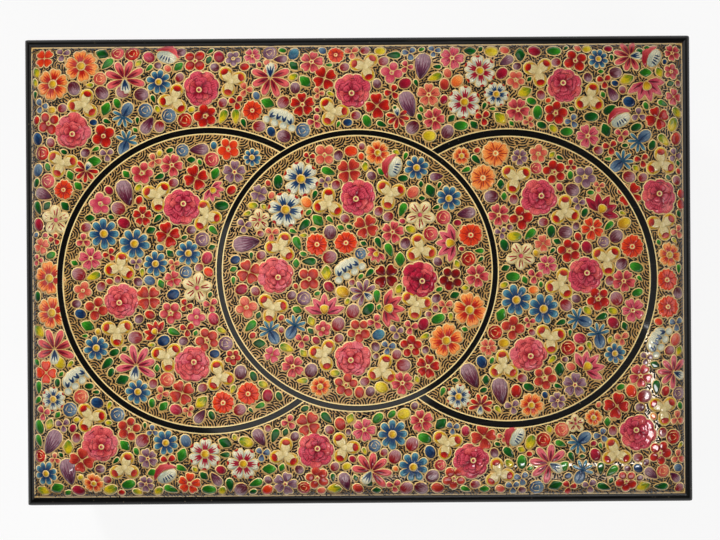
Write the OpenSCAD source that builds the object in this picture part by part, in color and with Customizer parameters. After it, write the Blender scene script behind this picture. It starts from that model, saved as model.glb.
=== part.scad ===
// Painted papier mache box with a lift-off cushion lid.
// Millimetres. The origin is the middle of the underside, +X runs along the length, +Y to the
// back and +Z up. The boards are layered paper, mitred and glued at the corners; round mouldings
// of rolled paper cover every edge, and a neck inside the base locates the lid.

/* [Box] */
// Length of the closed box over its edge mouldings
box_length = 254; // [240:1:300]
// Width of the closed box over its edge mouldings
box_width = 178; // [160:1:210]
// Height of the closed box to the middle of its lid
box_height = 76; // [60:1:110]
// Radius of the outer corners of the mouldings, seen from above
moulding_corner = 1.8; // [1:0.1:2.4]
// Radius of the upright corners of the painted walls
wall_corner = 1.0; // [0.6:0.1:1.6]

/* [Base] */
// Thickness of the layered board of the base
board = 4; // [3:0.1:5]
// Height of the moulding round the foot
foot_moulding = 8; // [6:0.2:10]
// Height of the moulding under the seam
base_moulding = 6.4; // [5:0.2:8]
// How far the base's upper moulding stands proud of the wall
base_moulding_proud = 3.0; // [2:0.1:3.2]

/* [Neck] */
// Thickness of the neck strips
neck_board = 2.2; // [1.6:0.1:3]
// Height of the neck strips
neck_height = 31; // [20:1:36]
// How far the neck stands above the seam
neck_stand = 6.6; // [4:0.2:7]
// Gap between the neck and the lid's walls
lid_play = 0.3; // [0.2:0.05:0.5]

/* [Lid] */
// Height of the lid's walls and of the moulding that covers them
lid_moulding = 8; // [7.4:0.2:10]
// How far the lid and foot mouldings stand proud of the walls
moulding_proud = 3.6; // [2.6:0.1:3.8]
// Gap of the seam between the lid and the base
seam = 0.3; // [0.2:0.05:0.4]
// Upright edge of the lid's top board, above the walls
crown_lip = 1.2; // [0.8:0.1:2]
// Thickness of the lid's top board at the middle
crown_board = 3.2; // [2.6:0.1:4]
// Height of the cushion's rolled edge
roll_height = 7; // [5:0.1:8]
// Width of the cushion's rolled edge, seen from above
roll_width = 18; // [14:0.5:22]
// Extra rise of the lid's middle over its edges
crown_rise = 1.5; // [0.8:0.1:2]

/* [Rings] */
// How far the lacquer of a ring stands up
ring_relief = 0.25; // [0.2:0.05:0.5]
// Radius of the middle ring at the middle of its band
middle_ring_radius = 51.5; // [46:0.5:54]
// Width of the middle ring's band
middle_ring_width = 1.9; // [1.4:0.1:2.6]
// Radius of the left ring
left_ring_radius = 56; // [50:0.5:58]
// Width of the left ring's band
left_ring_width = 2.1; // [1.4:0.1:2.6]
// Radius of the right ring
right_ring_radius = 54.5; // [50:0.5:57]
// Width of the right ring's band
right_ring_width = 2.4; // [1.4:0.1:2.6]
// Centre of the left ring, to the left of the lid's middle
left_ring_out = 55.3; // [50:0.1:56]
// Centre of the right ring, to the right of the lid's middle
right_ring_out = 56.3; // [50:0.1:57]
// How far the side rings sit towards the front, where the painter's compass stood
side_ring_forward = 3.4; // [0:0.1:6]

/* [Hidden] */
$fn = 64;

// The wall outline is the outer face of the painted boards
wall_length = box_length - 2 * moulding_proud;
wall_width = box_width - 2 * moulding_proud;

// The seam is where the base ends and the lid begins
crown_height = crown_lip + roll_height + crown_rise;
lid_walls_top = box_height - crown_height;
lid_bottom = lid_walls_top - lid_moulding;
base_top = lid_bottom - seam;
neck_top = base_top + neck_stand;
lid_board = board - lid_play;

// The hollow under the crown begins this far in from its edge
hollow_inset = board + 1;

// The rolled edge of the cushion: how early it leaves the level, and how steeply it ends
roll_ease = 2.2;
roll_power = 0.59;

// Rows of points across a rolled edge, and across the level part each way
roll_steps = 9;
level_steps_x = 14;
level_steps_y = 9;
// Rows crowd towards the edge by this power
roll_crowding = 1.8;

// Steps of the small upright corner arcs, and of a whole ring
corner_steps = 4;
ring_steps = 96;

// Each ring is a centre, a radius and a width on the lid
middle_ring = [0, 0, middle_ring_radius, middle_ring_width];
left_ring = [-left_ring_out, -side_ring_forward, left_ring_radius, left_ring_width];
right_ring = [right_ring_out, -side_ring_forward, right_ring_radius, right_ring_width];

// Spare length of a cutting shape past the strip that it mitres
spare = 1;

black = "#17150f";
board_gold = "#b08f4e";
wall_gold = "#a88646";

// Sides, each with the turn that brings its outward direction from +Y
back = 0;
left = 90;
front = 180;
right = 270;

function across(side) = side == back || side == front ? wall_width / 2 : wall_length / 2;
function along(side) = side == back || side == front ? wall_length : wall_width;

// Plan of a mitred strip. depth runs outward from the wall outline, and the outer corners are
// rounded, with half of each corner's arc on each strip.
function strip_plan(run, inner, outer, corner) =
    let (far = run / 2 + outer - corner, step = 45 / corner_steps)
    concat(
        [[-(run / 2 + inner), inner], [run / 2 + inner, inner]],
        [for (i = [0 : corner_steps])
            [far + corner * cos(45 + i * step), outer - corner + corner * sin(45 + i * step)]],
        [for (i = [0 : corner_steps])
            [-far + corner * cos(90 + i * step), outer - corner + corner * sin(90 + i * step)]]);

module on_side(side) {
    rotate([0, 0, side]) translate([0, across(side), 0]) children();
}

// A flat mitred board on one side
module side_board(side, inner, outer, bottom, top, corner) {
    on_side(side) translate([0, 0, bottom]) linear_extrude(height = top - bottom)
        polygon(strip_plan(along(side), inner, outer, corner));
}

// A profile run along one side and mitred at both ends. The profile is drawn with its own X
// outward from the wall outline and its Y up.
module side_run(side, inner, outer, bottom, top, corner) {
    intersection() {
        on_side(side) rotate([90, 0, 90]) translate([0, 0, -along(side)])
            linear_extrude(height = 2 * along(side)) children();
        side_board(side, inner, outer, bottom - spare, top + spare, corner);
    }
}

// Half-round moulding of rolled paper, glued to the outside of a wall
module moulding(side, bottom, height, proud) {
    radius = height / 2;
    color(black) side_run(side, 0, proud, bottom, bottom + height, moulding_corner)
        intersection() {
            translate([proud - radius, bottom + radius]) circle(r = radius);
            translate([0, bottom]) square([proud, height]);
        }
}

module foot_moulding_run(side) {
    moulding(side, 0, foot_moulding, moulding_proud);
}

module base_moulding_run(side) {
    moulding(side, base_top - base_moulding, base_moulding, base_moulding_proud);
}

module lid_moulding_run(side) {
    moulding(side, lid_bottom, lid_moulding, moulding_proud);
}

// Neck strip: stands above the seam, with a rounded top edge that leads the lid on
module neck(side) {
    outer = -board;
    round_top = neck_board / 2;
    bottom = neck_top - neck_height;
    color(black)
        side_run(side, outer - neck_board, outer, bottom, neck_top, wall_corner) union() {
            translate([outer - neck_board, bottom])
                square([neck_board, neck_height - round_top]);
            translate([outer - round_top, neck_top - round_top]) circle(r = round_top);
        }
}

module base_wall(side) {
    color(wall_gold) side_board(side, -board, 0, board, base_top, wall_corner);
}

// The floor board reaches under the walls, to the wall outline
module base_floor() {
    x = wall_length / 2 - wall_corner;
    y = wall_width / 2 - wall_corner;
    corners = [[x, y], [-x, y], [-x, -y], [x, -y]];
    step = 45 / corner_steps;
    color(black) linear_extrude(height = board) polygon(
        [for (k = [0 : 3]) for (i = [0 : 2 * corner_steps])
            corners[k] + wall_corner * [cos(90 * k + i * step), sin(90 * k + i * step)]]);
}

module lid_wall(side) {
    color(black) side_board(side, -lid_board, 0, lid_bottom, lid_walls_top, wall_corner);
}

// Share of the rolled edge's height at a distance in from the edge
function roll(distance, width) =
    distance <= 0 ? 0 :
    distance >= width ? 1 :
    pow(1 - pow(1 - distance / width, roll_ease), roll_power);

function dome(x, y) =
    (1 - pow(2 * x / wall_length, 2)) * (1 - pow(2 * y / wall_width, 2));

// Heights of the crown's top and of the hollow under it, above the lid's walls
function crown_top(x, y) =
    crown_lip + crown_rise * dome(x, y) + roll_height
    * roll(wall_length / 2 - abs(x), roll_width) * roll(wall_width / 2 - abs(y), roll_width);

function crown_under(x, y) =
    (crown_lip + roll_height - crown_board + crown_rise * dome(x, y))
    * roll(wall_length / 2 - hollow_inset - abs(x), roll_width - hollow_inset)
    * roll(wall_width / 2 - hollow_inset - abs(y), roll_width - hollow_inset);

// Rows across the crown, close together where it rolls over
function rows(size, level_steps) =
    let (level = size / 2 - roll_width)
    concat(
        [for (i = [0 : roll_steps - 1]) -size / 2 + roll_width * pow(i / roll_steps, roll_crowding)],
        [for (i = [0 : level_steps]) -level + 2 * level * i / level_steps],
        [for (i = [roll_steps - 1 : -1 : 0])
            size / 2 - roll_width * pow(i / roll_steps, roll_crowding)]);

module lid_crown() {
    xs = rows(wall_length, level_steps_x);
    ys = rows(wall_width, level_steps_y);
    nx = len(xs);
    ny = len(ys);
    under = nx * ny;
    points = concat(
        [for (x = xs) for (y = ys) [x, y, lid_walls_top + crown_top(x, y)]],
        [for (x = xs) for (y = ys) [x, y, lid_walls_top + crown_under(x, y)]]);
    top_faces = [for (i = [0 : nx - 2]) for (j = [0 : ny - 2]) for (half = [0, 1])
        let (a = i * ny + j, b = a + 1, c = a + ny, d = c + 1)
        half == 0 ? [a, b, d] : [a, d, c]];
    under_faces = [for (f = top_faces) [f[2] + under, f[1] + under, f[0] + under]];
    // Once round the edge of the grid, and down its upright lip
    rim = concat(
        [for (i = [0 : nx - 2]) i * ny],
        [for (j = [0 : ny - 2]) (nx - 1) * ny + j],
        [for (i = [nx - 1 : -1 : 1]) i * ny + ny - 1],
        [for (j = [ny - 1 : -1 : 1]) j]);
    lip_faces = [for (k = [0 : len(rim) - 1]) for (half = [0, 1])
        let (a = rim[k], b = rim[(k + 1) % len(rim)])
        half == 0 ? [a, b, b + under] : [a, b + under, a + under]];
    color(board_gold) polyhedron(points = points,
        faces = concat(top_faces, under_faces, lip_faces));
}

// Angle each side of the line between two rings' centres at which a circle offset from ring r
// meets the outer edge of ring other
function meeting(r, other, offset) =
    let (reach = norm([r[0] - other[0], r[1] - other[1]]),
         edge = other[2] + other[3] / 2,
         own = r[2] + offset)
    acos((reach * reach + own * own - edge * edge) / (2 * reach * own));

// A raised band of lacquer that follows the crown. It runs all the way round, or it stops at
// ring other, with its ends cut to that ring's edge.
module ring_band(r, other) {
    whole = other == undef;
    turn = whole ? 0 : atan2(other[1] - r[1], other[0] - r[0]);
    function gap(offset) = whole ? 0 : meeting(r, other, offset);
    steps = ceil(ring_steps * (180 - gap(0)) / 180);
    stations = whole ? steps : steps + 1;
    function place(i, offset, relief) =
        let (angle = turn + gap(offset) + (360 - 2 * gap(offset)) * i / steps,
             x = r[0] + (r[2] + offset) * cos(angle),
             y = r[1] + (r[2] + offset) * sin(angle))
        [x, y, lid_walls_top + crown_top(x, y) + relief];
    edge = r[3] / 2;
    points = [for (i = [0 : stations - 1])
        for (corner = [[-edge, 0], [edge, 0], [edge, ring_relief], [-edge, ring_relief]])
            place(i, corner[0], corner[1])];
    spans = whole ? stations : stations - 1;
    sides = [for (i = [0 : spans - 1]) for (k = [0 : 3]) for (half = [0, 1])
        let (a = 4 * i + k, b = 4 * i + (k + 1) % 4,
             c = 4 * ((i + 1) % stations) + k, d = 4 * ((i + 1) % stations) + (k + 1) % 4)
        half == 0 ? [a, b, d] : [a, d, c]];
    last = 4 * (stations - 1);
    caps = whole ? [] : [[2, 1, 0], [3, 2, 0], [last, last + 1, last + 2], [last, last + 2, last + 3]];
    color(black) polyhedron(points = points, faces = concat(sides, caps));
}

module ring_middle() {
    ring_band(middle_ring);
}

// The side rings stop at the middle ring, which lies over them
module ring_left() {
    ring_band(left_ring, middle_ring);
}

module ring_right() {
    ring_band(right_ring, middle_ring);
}

base_floor();
base_wall(front);  // base_front_wall
base_wall(back);  // base_back_wall
base_wall(left);  // base_left_wall
base_wall(right);  // base_right_wall
foot_moulding_run(front);  // foot_moulding_front
foot_moulding_run(back);  // foot_moulding_back
foot_moulding_run(left);  // foot_moulding_left
foot_moulding_run(right);  // foot_moulding_right
base_moulding_run(front);  // base_moulding_front
base_moulding_run(back);  // base_moulding_back
base_moulding_run(left);  // base_moulding_left
base_moulding_run(right);  // base_moulding_right
neck(front);  // neck_front
neck(back);  // neck_back
neck(left);  // neck_left
neck(right);  // neck_right
lid_wall(front);  // lid_front_wall
lid_wall(back);  // lid_back_wall
lid_wall(left);  // lid_left_wall
lid_wall(right);  // lid_right_wall
lid_moulding_run(front);  // lid_moulding_front
lid_moulding_run(back);  // lid_moulding_back
lid_moulding_run(left);  // lid_moulding_left
lid_moulding_run(right);  // lid_moulding_right
lid_crown();
ring_left();
ring_middle();
ring_right();
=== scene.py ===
import math
import random
from collections import deque

import bmesh
import bpy
import numpy as np
from mathutils import Matrix, Vector


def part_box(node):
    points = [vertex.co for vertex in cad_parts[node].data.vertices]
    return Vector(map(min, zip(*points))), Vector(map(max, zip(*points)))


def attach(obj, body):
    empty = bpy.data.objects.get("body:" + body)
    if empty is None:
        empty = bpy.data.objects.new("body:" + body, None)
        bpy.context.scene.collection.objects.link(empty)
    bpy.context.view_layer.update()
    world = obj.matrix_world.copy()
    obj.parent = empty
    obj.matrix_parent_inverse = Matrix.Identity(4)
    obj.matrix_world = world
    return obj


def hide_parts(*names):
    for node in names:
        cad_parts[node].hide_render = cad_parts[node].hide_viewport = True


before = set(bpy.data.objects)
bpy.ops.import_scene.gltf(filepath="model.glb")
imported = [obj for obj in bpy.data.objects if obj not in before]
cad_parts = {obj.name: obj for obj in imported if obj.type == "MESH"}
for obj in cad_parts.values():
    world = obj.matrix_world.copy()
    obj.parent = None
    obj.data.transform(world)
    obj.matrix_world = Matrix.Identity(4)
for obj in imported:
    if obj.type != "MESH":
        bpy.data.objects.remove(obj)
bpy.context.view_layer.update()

# The carcass: floor board, neck strips and lid walls are layered paper boards, glued and
# rubbed down, then brushed with black lacquer and rubbed glossy. They are the packed
# solids, and only their finish is made here.
def rgb(red, green, blue):
    """A paint's colour as the painter sees it, 0 to 255, made linear for the shader."""
    share = [c / 255 for c in (red, green, blue)]
    return [s / 12.92 if s < 0.04045 else ((s + 0.055) / 1.055) ** 2.4 for s in share] + [1.0]


def add(tree, kind, feeds=None, **settings):
    """A shader node with its settings, and with its sockets linked or set."""
    node = tree.nodes.new("ShaderNode" + kind)
    for name, value in settings.items():
        setattr(node, name, value)
    for socket, source in (feeds or {}).items():
        if isinstance(source, bpy.types.NodeSocket):
            tree.links.new(source, node.inputs[socket])
        else:
            node.inputs[socket].default_value = source
    return node


def blend(tree, share, first, second, how="MIX"):
    """A mix of two colours, each a socket or a linear colour."""
    feeds = {"Factor": share, 6: first, 7: second}
    node = add(tree, "Mix", feeds, data_type="RGBA", blend_type=how)
    return node.outputs[2]


def sums(tree, how, *values):
    """One step of arithmetic on numbers."""
    return add(tree, "Math", dict(enumerate(values)), operation=how).outputs[0]


def ranged(tree, value, from_low=0.0, from_high=1.0, to_low=0.0, to_high=1.0):
    """Stretches one range of a number onto another, and stops at its ends."""
    feeds = {0: value, 1: from_low, 2: from_high, 3: to_low, 4: to_high}
    return add(tree, "MapRange", feeds).outputs[0]


def noise(tree, place, scale, detail):
    """Cloudy noise at a place, 0 to 1."""
    return add(tree, "TexNoise", {"Vector": place, "Scale": scale, "Detail": detail}).outputs["Fac"]


def new_finish(name):
    """An empty material with its Principled shader, and the shader's tree."""
    material = bpy.data.materials.new(name)
    material.use_nodes = True
    return material, material.node_tree, material.node_tree.nodes["Principled BSDF"]


def dress(tree, shader, colour, rough, relief=None, strength=0.0):
    """Gives a shader its colour, its roughness and the relief of its brush marks."""
    tree.links.new(colour, shader.inputs["Base Color"])
    tree.links.new(rough, shader.inputs["Roughness"])
    if relief:
        bump = add(tree, "Bump", {"Height": relief, "Strength": strength, "Distance": 0.0001})
        tree.links.new(bump.outputs[0], shader.inputs["Normal"])


def lacquer_age_group():
    """Years of handling in lacquer: cloudy dulled places, fine rubbed scratches, dust specks."""
    group = bpy.data.node_groups.new("lacquer_age", "ShaderNodeTree")
    face = group.interface
    face.new_socket(name="Place", in_out="INPUT", socket_type="NodeSocketVector")
    for name in ("Cloud", "Scratch", "Speck", "Relief"):
        face.new_socket(name=name, in_out="OUTPUT", socket_type="NodeSocketFloat")
    place = group.nodes.new("NodeGroupInput").outputs["Place"]
    cloud = add(group, "TexNoise", {"Vector": place, "Scale": 22.0, "Detail": 5.0, "Roughness": 0.6})
    cloud = cloud.outputs["Fac"]
    long_way = add(group, "Mapping", {"Vector": place, "Rotation": (0.2, 0.3, 0.7), "Scale": (1, 14, 9)})
    fine_scratch = ranged(group, noise(group, long_way.outputs[0], 60.0, 3.0), 0.62, 0.78)
    dust = add(group, "TexVoronoi", {"Vector": place, "Scale": 420.0})
    speck = ranged(group, dust.outputs["Distance"], 0.16, 0.05)
    specks = sums(group, "MULTIPLY", speck, ranged(group, cloud, 0.5, 0.62))
    orange_peel = noise(group, place, 260.0, 2.0)
    relief = sums(group, "ADD", orange_peel, sums(group, "MULTIPLY", specks, 0.6))
    ends = group.nodes.new("NodeGroupOutput").inputs
    masks = {"Cloud": cloud, "Scratch": fine_scratch, "Speck": specks, "Relief": relief}
    for name, mask in masks.items():
        group.links.new(mask, ends[name])
    return group


lacquer_age = lacquer_age_group()


def aged(tree, place):
    """The lacquer's age on this material, read at a place on the piece."""
    return add(tree, "Group", {"Place": place}, node_tree=lacquer_age).outputs


def varnished(shader, gloss=0.07, depth=0.6):
    """The clear rubbed varnish that goes over every painted and lacquered surface."""
    shader.inputs["Specular IOR Level"].default_value = 0.05
    shader.inputs["Coat Weight"].default_value = depth
    shader.inputs["Coat Roughness"].default_value = gloss
    shader.inputs["Coat IOR"].default_value = 1.45


def black_lacquer_finish(name, gloss, depth, scratches, black=rgb(1, 1, 1), browned=rgb(11, 9, 6)):
    """Lacquer that has gone cloudy and brown in places, with rubbed scratches and dust in it."""
    material, tree, shader = new_finish(name)
    age = aged(tree, add(tree, "TexCoord").outputs["Object"])
    brown = blend(tree, age["Cloud"], black, browned)
    marks = sums(tree, "MULTIPLY", age["Scratch"], scratches)
    dust = sums(tree, "MULTIPLY", age["Speck"], scratches)
    dusty = blend(tree, dust, blend(tree, marks, brown, rgb(48, 41, 32)), rgb(120, 106, 84))
    dress(tree, shader, dusty, ranged(tree, age["Cloud"], 0.3, 0.7, 0.28, 0.5), age["Relief"], 0.3)
    varnished(shader, gloss, depth)
    return material


black_lacquer = black_lacquer_finish("black_lacquer", 0.14, 0.7, 0.5, rgb(6, 5, 5), rgb(26, 20, 14))


def new_piece(name, bm, *materials):
    """A piece of its own, made from a finished bmesh."""
    mesh = bpy.data.meshes.new(name)
    bm.to_mesh(mesh)
    bm.free()
    for material in materials:
        mesh.materials.append(material)
    piece = bpy.data.objects.new(name, mesh)
    bpy.context.scene.collection.objects.link(piece)
    return piece


def finish_solids(material, *names):
    """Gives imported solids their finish."""
    for name in names:
        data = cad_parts[name].data
        data.materials.clear()
        data.materials.append(material)


sides = ("front", "back", "left", "right")
finish_solids(black_lacquer, "base_floor")
finish_solids(black_lacquer, *[f"neck_{side}" for side in sides])
finish_solids(black_lacquer, *[f"lid_{side}_wall" for side in sides])

# The four base walls: paper board, black inside, and outside the gold ground that every
# flower is painted on. The ground is bronze powder in varnish, brushed on and browned in cloudy
# places with age, and painted shade darkens it towards the mouldings above and below.
mm = 0.001
painted_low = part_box("foot_moulding_front")[1].z / mm
painted_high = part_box("base_moulding_front")[0].z / mm
half_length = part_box("lid_crown")[1].x / mm
half_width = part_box("lid_crown")[1].y / mm
wall_middle = (painted_low + painted_high) / 2
wall_half = (painted_high - painted_low) / 2
line_inset = 0.5


def gold_ground(tree, place, painted_shade, from_line):
    """Colour, brush relief and age of the gold ground. The shade mask darkens the gold with painted
    shade, and a bright line of gold runs where from_line is nought."""
    age = aged(tree, place)
    brushed = add(tree, "Mapping", {"Vector": place, "Scale": (1, 5, 1), "Rotation": (0, 0, 0.5)})
    strokes = noise(tree, brushed.outputs[0], 170.0, 4.0)
    gold = blend(tree, strokes, rgb(156, 114, 60), rgb(220, 178, 110))
    grain = ranged(tree, noise(tree, place, 2600.0, 2.0), 0.3, 0.7, 0.0, 0.35)
    grained = blend(tree, grain, gold, rgb(124, 84, 40))
    cloudy = ranged(tree, age["Cloud"], 0.45, 0.75, 0.0, 0.4)
    browned = blend(tree, cloudy, grained, rgb(128, 88, 44))
    # Painted shade: where the shade mask is full, the gold goes to a dark brown.
    shaded_gold = blend(tree, painted_shade, browned, rgb(74, 46, 20))
    on_line = ranged(tree, sums(tree, "ABSOLUTE", from_line), 0.3 * mm, 0.2 * mm)
    return blend(tree, on_line, shaded_gold, rgb(214, 180, 116)), strokes, age


def wall_board_finish():
    """Gold outside, between the mouldings, and black lacquer everywhere else."""
    material, tree, shader = new_finish("painted_wall_board")
    place = add(tree, "TexCoord").outputs["Object"]
    x, y, z = add(tree, "SeparateXYZ", {0: place}).outputs
    skin = 0.4
    beside = sums(tree, "SUBTRACT", sums(tree, "ABSOLUTE", x), (half_length - skin) * mm)
    before = sums(tree, "SUBTRACT", sums(tree, "ABSOLUTE", y), (half_width - skin) * mm)
    outside = sums(tree, "GREATER_THAN", sums(tree, "MAXIMUM", beside, before), 0.0)
    outside = sums(tree, "MULTIPLY", outside, sums(tree, "LESS_THAN", z, (painted_high + 1) * mm))
    from_middle = sums(tree, "ABSOLUTE", sums(tree, "SUBTRACT", z, wall_middle * mm))
    # Painted shade: the gold darkens over its last 5 mm towards the mouldings above and below.
    painted_shade = ranged(tree, from_middle, 16.5 * mm, 21.5 * mm, 0.0, 0.75)
    from_line = sums(tree, "SUBTRACT", from_middle, (wall_half - line_inset) * mm)
    gold, strokes, age = gold_ground(tree, place, painted_shade, from_line)
    inner_black = blend(tree, age["Cloud"], rgb(6, 5, 5), rgb(26, 20, 14))
    colour = blend(tree, outside, inner_black, gold)
    dress(tree, shader, colour, ranged(tree, age["Cloud"], 0.0, 1.0, 0.4, 0.6), strokes, 0.25)
    varnished(shader, 0.1)
    return material


finish_solids(wall_board_finish(), *[f"base_{side}_wall" for side in sides])

# The painting tools. The painter works in dabs: one touch of a squirrel-hair brush leaves
# a low dome of paint, and a fine gold line goes round it. Each dab is a small closed form
# pressed on the gold ground, and its colour runs from its root to its tip.
chart_side = 8
paints = {
    "gold": (rgb(238, 202, 136), rgb(255, 232, 178)),
    "ink": (rgb(2, 2, 1), rgb(6, 5, 3)),
    "rose pink": (rgb(134, 6, 38), rgb(222, 82, 108)),
    "rose coral": (rgb(158, 24, 42), rgb(232, 104, 110)),
    "rose crimson": (rgb(100, 2, 26), rgb(196, 36, 70)),
    "rose shade": (rgb(92, 2, 26), rgb(124, 10, 42)),
    "red": (rgb(132, 4, 6), rgb(214, 40, 20)),
    "coral red": (rgb(142, 22, 20), rgb(218, 78, 58)),
    "deep red": (rgb(86, 1, 2), rgb(150, 8, 10)),
    "orange red": (rgb(196, 34, 8), rgb(238, 84, 36)),
    "peach": (rgb(224, 98, 34), rgb(248, 172, 94)),
    "cream": (rgb(204, 184, 130), rgb(246, 234, 194)),
    "cool white": (rgb(170, 180, 172), rgb(240, 236, 214)),
    "yellow": (rgb(180, 128, 6), rgb(236, 200, 44)),
    "lemon": (rgb(186, 160, 10), rgb(238, 216, 66)),
    "mauve": (rgb(98, 60, 88), rgb(168, 134, 152)),
    "plum": (rgb(60, 6, 38), rgb(122, 30, 76)),
    "crimson": (rgb(118, 4, 32), rgb(186, 26, 60)),
    "sky blue": (rgb(18, 68, 104), rgb(88, 148, 174)),
    "deep blue": (rgb(4, 26, 68), rgb(32, 80, 132)),
    "blue grey": (rgb(44, 72, 110), rgb(118, 146, 174)),
    "leaf green": (rgb(14, 84, 10), rgb(64, 158, 34)),
    "deep green": (rgb(0, 48, 8), rgb(6, 106, 26)),
    "sunlit leaf": (rgb(212, 186, 24), rgb(20, 112, 20)),
    "plum bud": (rgb(84, 4, 28), rgb(166, 136, 152)),
    "crimson bud": (rgb(134, 4, 16), rgb(176, 136, 148)),
    "pink": (rgb(186, 48, 82), rgb(228, 118, 130)),
    "salmon": (rgb(192, 66, 58), rgb(232, 132, 104)),
}
chart_places = {name: divmod(i, chart_side) for i, name in enumerate(paints)}


def flower_paint_finish():
    """Reads each dab's two colours, and runs its brush streaks along the dab."""
    material, tree, shader = new_finish("flower_paint")
    chart = add(tree, "UVMap", uv_map="OFBake").outputs[0]
    cells = add(tree, "VectorMath", {0: chart, "Scale": chart_side}, operation="SCALE").outputs[0]
    in_cell = add(tree, "VectorMath", {0: cells}, operation="FRACTION").outputs[0]
    towards_tip = add(tree, "SeparateXYZ", {0: in_cell}).outputs[1]
    hairs = add(tree, "Mapping", {"Vector": cells, "Scale": (9, 1.3, 1)}).outputs[0]
    streaks = noise(tree, hairs, 2.0, 3.0)
    wander = sums(tree, "MULTIPLY", sums(tree, "SUBTRACT", streaks, 0.5), 1.5)
    share = add(tree, "MapRange", {0: sums(tree, "ADD", towards_tip, wander), 1: 0.22, 2: 1.0},
                interpolation_type="SMOOTHSTEP").outputs[0]
    root = add(tree, "Attribute", attribute_name="root_colour").outputs["Color"]
    tip = add(tree, "Attribute", attribute_name="tip_colour").outputs["Color"]
    mottle = noise(tree, cells, 14.0, 2.0)
    shade = ranged(tree, mottle, 0.3, 0.7, 0.66, 1.12)
    grey = add(tree, "CombineColor", {0: shade, 1: shade, 2: shade}).outputs[0]
    colour = blend(tree, 1.0, blend(tree, share, root, tip), grey, "MULTIPLY")
    colour = blend(tree, 1.0, colour, rgb(255, 248, 230), "MULTIPLY")
    dress(tree, shader, colour, ranged(tree, mottle, 0.0, 1.0, 0.35, 0.55), streaks, 0.14)
    varnished(shader)
    return material


flower_paint = flower_paint_finish()


def away(u, v, turn, along, aside=0.0):
    """The spot this far along a turn, which is in degrees, and this far to its right."""
    c, s = math.cos(math.radians(turn)), math.sin(math.radians(turn))
    return u + along * c + aside * s, v + along * s - aside * c


def outline_of(shape, angle):
    """A point of a dab's edge, from its root at angle 0 to its tip at half a turn."""
    along = (1 - math.cos(angle)) / 2
    across = math.sin(angle) / 2
    if shape in ("dash", "wave") and abs(across) > 0.05:
        shoulder = 0.38 if abs(math.cos(angle)) > 0.3 else 0.0
        return math.copysign(0.5, across), 0.5 - math.copysign(shoulder, math.cos(angle))
    if shape == "drop":
        across *= 0.45 + 0.62 * along
    if shape == "heart":
        across *= 0.5 + 0.62 * along
        along -= 0.15 * math.exp(-((angle - math.pi) / 0.3) ** 2)
    if shape in ("leaf", "stroke"):
        across *= abs(math.sin(angle))
    return across, along


def press_dab(shape, corners, domed):
    """One dab cut from a short round bar, its edge pushed to the dab's outline."""
    bm = bmesh.new()
    bmesh.ops.create_cone(bm, cap_ends=True, segments=corners, radius1=1, radius2=1, depth=1)
    if domed:
        top = max(bm.faces, key=lambda face: face.calc_center_median().z)
        bmesh.ops.inset_region(bm, faces=[top], thickness=0.4)
        bmesh.ops.poke(bm, faces=[top])
    shoulder = 0.62
    rises = {0: 0.8, shoulder: 0.35, 1: 0}
    points, heights = [], []
    for v in bm.verts:
        reach = v.co.xy.length
        edge = outline_of(shape, math.atan2(v.co.x, -v.co.y) % (2 * math.pi))
        share = 1 if reach > 0.9 else 0 if reach < 0.1 else shoulder
        points.append((edge[0] * share, 0.5 + (edge[1] - 0.5) * share))
        heights.append(-1 if v.co.z < 0 else rises[share])
    faces = [[v.index for v in face.verts] for face in bm.faces]
    level = [abs(face.normal.z) > 0.5 for face in bm.faces]
    bm.free()
    return {"points": np.array(points), "heights": np.array(heights), "faces": faces,
            "smooth": level}


corner_counts = {"oval": 12, "drop": 12, "heart": 14, "leaf": 8, "dot": 10, "stroke": 6, "dash": 6,
                 "wave": 8}
dab_blanks = {}
for shape_name, corner_count in corner_counts.items():
    dab_blanks[shape_name, "flat"] = press_dab(shape_name, corner_count, False)
    dab_blanks[shape_name, "domed"] = press_dab(shape_name, corner_count, True)


under = -0.3
ink_slip = 0.36


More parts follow.
